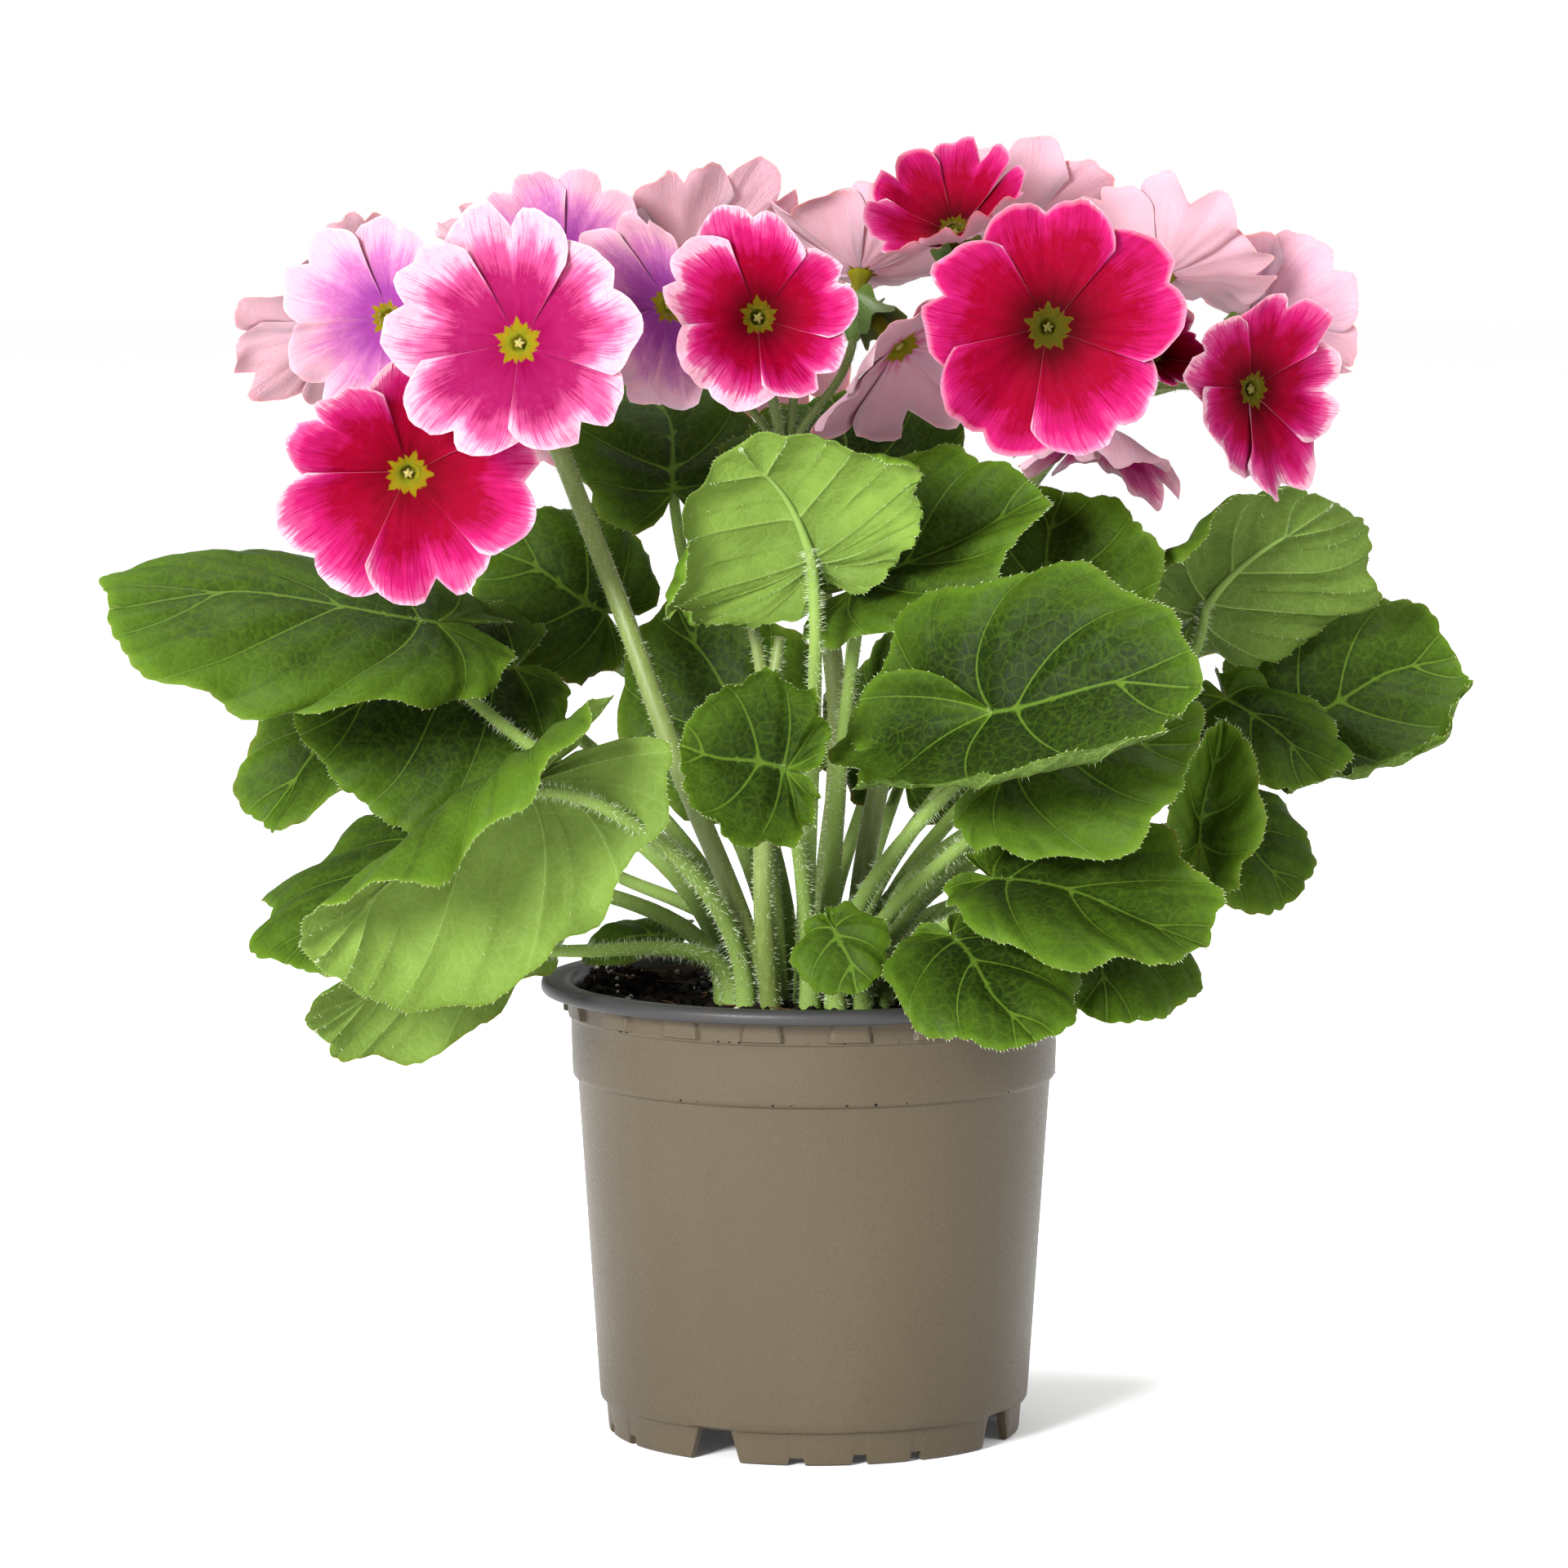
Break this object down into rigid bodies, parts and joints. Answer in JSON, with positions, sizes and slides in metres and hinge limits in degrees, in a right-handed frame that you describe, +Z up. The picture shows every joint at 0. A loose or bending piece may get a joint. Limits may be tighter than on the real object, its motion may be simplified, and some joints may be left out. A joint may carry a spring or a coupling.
{
  "type": "potted primrose",
  "caption": "Flowering primrose in a tapered plastic grower's pot: round toothed leaves on long stalks and domed heads of large five-petalled blooms above them.",
  "frame": {"origin": "middle of the pot's underside, on the ground", "axes": "+Z up, -Y towards the side of the plant that is meant to be seen first, +X to that viewer's right"},
  "size_m": [0.2987, 0.2011, 0.2857],
  "materials": {
    "pot": "satin moulded plastic",
    "soil": "loose dark peat",
    "leaf": "finely hairy leaf",
    "stalk": "finely hairy stem",
    "petal_crimson": "soft petal",
    "petal_pink": "soft petal",
    "petal_lilac": "soft petal",
    "petal_pale": "soft petal"
  },
  "bodies": {
    "root": {"bloom_centre_far": "petal_lilac", "bloom_centre_lilac": "petal_lilac", "bloom_centre_pale": "petal_pale", "bloom_centre_red": "petal_crimson", "bloom_centre_side": "petal_pale", "bloom_centre_top": "petal_pale", "bloom_left_back": "petal_pale", "bloom_left_crimson": "petal_crimson", "bloom_left_far": "petal_pink", "bloom_left_high": "petal_lilac", "bloom_left_lilac": "petal_lilac", "bloom_left_pink": "petal_pink", "bloom_left_top": "petal_pink", "bloom_right_back": "petal_lilac", "bloom_right_crimson": "petal_crimson", "bloom_right_dark": "petal_crimson", "bloom_right_edge": "petal_crimson", "bloom_right_far": "petal_pink", "bloom_right_folded": "petal_crimson", "bloom_right_hanging": "petal_pink", "bloom_right_pale": "petal_pale", "bloom_right_top": "petal_pale", "leaf_back_left": "leaf", "leaf_back_low_left": "leaf", "leaf_back_low_right": "leaf", "leaf_back_middle": "leaf", "leaf_back_right": "leaf", "leaf_back_top": "leaf", "leaf_centre_back": "leaf", "leaf_centre_right": "leaf", "leaf_centre_top": "leaf", "leaf_front_crown": "leaf", "leaf_front_cup": "leaf", "leaf_inner_left": "leaf", "leaf_inner_right": "leaf", "leaf_left_back": "leaf", "leaf_left_folded": "leaf", "leaf_left_hanging": "leaf", "leaf_left_long": "leaf", "leaf_left_low": "leaf", "leaf_left_rim": "leaf", "leaf_left_under": "leaf", "leaf_right_big": "leaf", "leaf_right_boat": "leaf", "leaf_right_far": "leaf", "leaf_right_low": "leaf", "leaf_right_mid": "leaf", "leaf_right_narrow": "leaf", "leaf_right_quilted": "leaf", "leaf_right_rim": "leaf", "leaf_right_rising": "leaf", "leaf_right_side": "leaf", "leaf_right_top": "leaf", "leaf_soil_left": "leaf", "pot": "pot", "soil": "soil", "stalk_centre": "stalk", "stalk_cut": "stalk", "stalk_left": "stalk", "stalk_right": "stalk"}
  },
  "joints": []
}
